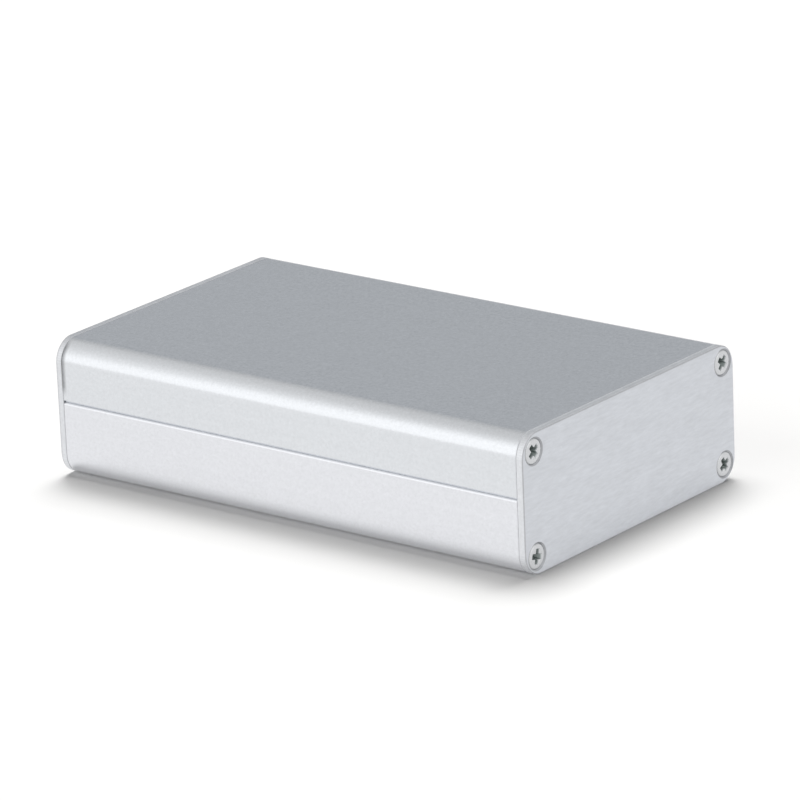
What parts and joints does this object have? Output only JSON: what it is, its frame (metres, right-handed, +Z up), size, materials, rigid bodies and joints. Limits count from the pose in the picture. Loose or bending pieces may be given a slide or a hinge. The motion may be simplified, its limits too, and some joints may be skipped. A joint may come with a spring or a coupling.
{
  "type": "aluminum project box",
  "caption": "Small flat electronics enclosure: extruded shells joined along the sides, closed by flat end plates on countersunk cross-recess screws.",
  "frame": {"origin": "middle of the footprint, on the underside that the box rests on", "axes": "+X along the extrusion towards the front end plate, +Y across the box, +Z up from the underside"},
  "size_m": [0.11, 0.066, 0.027],
  "materials": {
    "shell_anodised": "satin clear-anodised extrusion with a fine blasted grain",
    "plate_brushed": "sheet brushed along its long edges, clear-anodised",
    "screw_nickel": "bright nickel-plated steel"
  },
  "bodies": {
    "root": {"lower_shell": "shell_anodised", "upper_shell": "shell_anodised", "front_end_plate": "plate_brushed", "rear_end_plate": "plate_brushed", "front_screw_top_left": "screw_nickel", "front_screw_top_right": "screw_nickel", "front_screw_bottom_left": "screw_nickel", "front_screw_bottom_right": "screw_nickel", "rear_screw_top_left": "screw_nickel", "rear_screw_top_right": "screw_nickel", "rear_screw_bottom_left": "screw_nickel", "rear_screw_bottom_right": "screw_nickel"}
  },
  "joints": []
}
